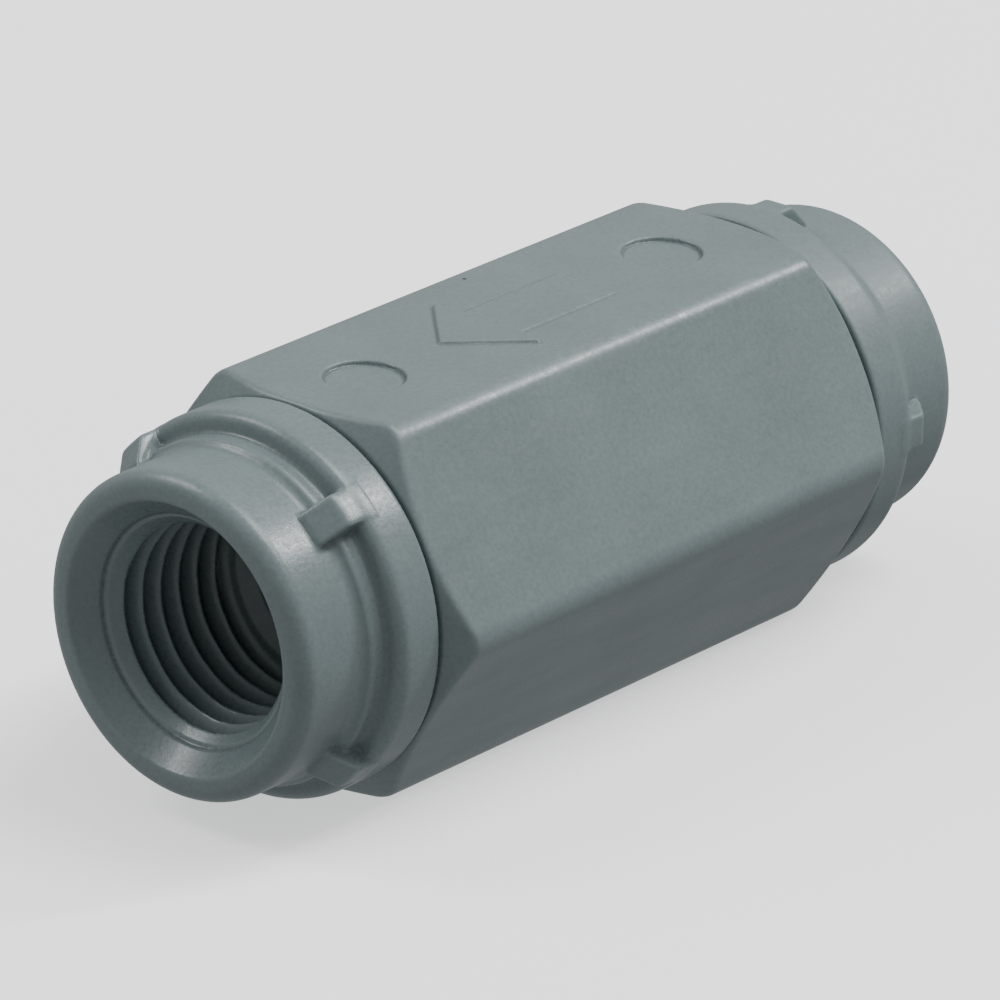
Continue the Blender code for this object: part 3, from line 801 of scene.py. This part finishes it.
black_rubber = rubber("black_rubber")
white_ptfe = fluoropolymer("white_ptfe")
bright_steel = steel("bright_steel")
dark_pvc = grey_pvc("dark_pvc", (0.1, 0.115, 0.12), roughness=0.45)
inner_looks = {
    "inlet_body_o_ring": black_rubber,
    "outlet_body_o_ring": black_rubber,
    "seat_ring_o_ring": black_rubber,
    "poppet_seal": black_rubber,
    "seat_ring": white_ptfe,
    "guide_bush": white_ptfe,
    "poppet_disc": dark_pvc,
    "stem_guide": dark_pvc,
}
REPLACED = ("hex_body", "inlet_connector", "outlet_connector", "return_spring")
for node_name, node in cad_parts.items():
    if node_name in REPLACED:
        continue
    node.data.materials.clear()
    node.data.materials.append(inner_looks.get(node_name, bright_steel))


# Floor, lights and camera

def floor():
    """A pale floor just under the valve. It lights nothing, so the valve's lower faces stay dark."""
    half = 3.0
    mesh = bpy.data.meshes.new("floor")
    corners = [(-half, -half, 0), (half, -half, 0), (half, half, 0), (-half, half, 0)]
    mesh.from_pydata(corners, [], [(0, 1, 2, 3)])
    obj = bpy.data.objects.new("floor", mesh)
    obj.location.z = -(APOTHEM + 0.05) * MM
    bpy.context.scene.collection.objects.link(obj)
    n = Nodes("pale_floor")
    cloudy = n.mix(n.noise(40.0, 2.0), (0.93, 0.93, 0.93, 1), (0.95, 0.95, 0.95, 1))
    n.link(cloudy, n.shader.inputs["Base Color"])
    n.shader.inputs["Roughness"].default_value = 0.9
    n.shader.inputs["Specular IOR Level"].default_value = 0.1
    n.shader.inputs["Emission Color"].default_value = (1, 1, 1, 1)
    n.shader.inputs["Emission Strength"].default_value = 0.8
    mesh.materials.append(n.material)
    obj.visible_diffuse = False
    obj.visible_glossy = False


def area_light(name, place, target, size, power):
    """A square softbox, with places and size in metres and power in watts."""
    light = bpy.data.lights.new(name, "AREA")
    light.shape = "SQUARE"
    light.size = size
    light.energy = power
    obj = bpy.data.objects.new(name, light)
    obj.location = place
    aim = Vector(target) - Vector(place)
    obj.rotation_euler = aim.to_track_quat("-Z", "Y").to_euler()
    obj.visible_camera = False
    bpy.context.scene.collection.objects.link(obj)


def camera():
    """A long lens at the photograph's viewing angle."""
    azimuth = radians(130.022)
    elevation = radians(22.657)
    roll = radians(1.199)
    distance = 0.48795
    target = Vector((0.000618, -0.000485, -0.000386))
    away = Vector((sin(azimuth) * cos(elevation), -cos(azimuth) * cos(elevation), sin(elevation)))
    data = bpy.data.cameras.new("camera")
    data.lens = 315.95
    data.sensor_width = 36
    data.clip_start = 0.01
    data.clip_end = 50
    obj = bpy.data.objects.new("camera", data)
    turn = away.to_track_quat("Z", "Y").to_matrix().to_4x4() @ Matrix.Rotation(roll, 4, "Z")
    obj.matrix_world = Matrix.Translation(target + away * distance) @ turn
    bpy.context.scene.collection.objects.link(obj)
    bpy.context.scene.camera = obj


floor()
world = bpy.data.worlds.new("studio")
world.use_nodes = True
background = world.node_tree.nodes["Background"]
background.inputs["Color"].default_value = (1, 1, 1, 1)
background.inputs["Strength"].default_value = 0.37
bpy.context.scene.world = world
area_light("overhead", (-0.28, 0.26, 0.8), (0, 0, 0), 0.5, 5.5)
area_light("side", (0.33, -0.56, 0.68), (0, 0, 0), 0.35, 2.55)
area_light("window", (-0.62, 0.31, 0.57), (0.02, 0, 0), 0.1, 2.6)
camera()
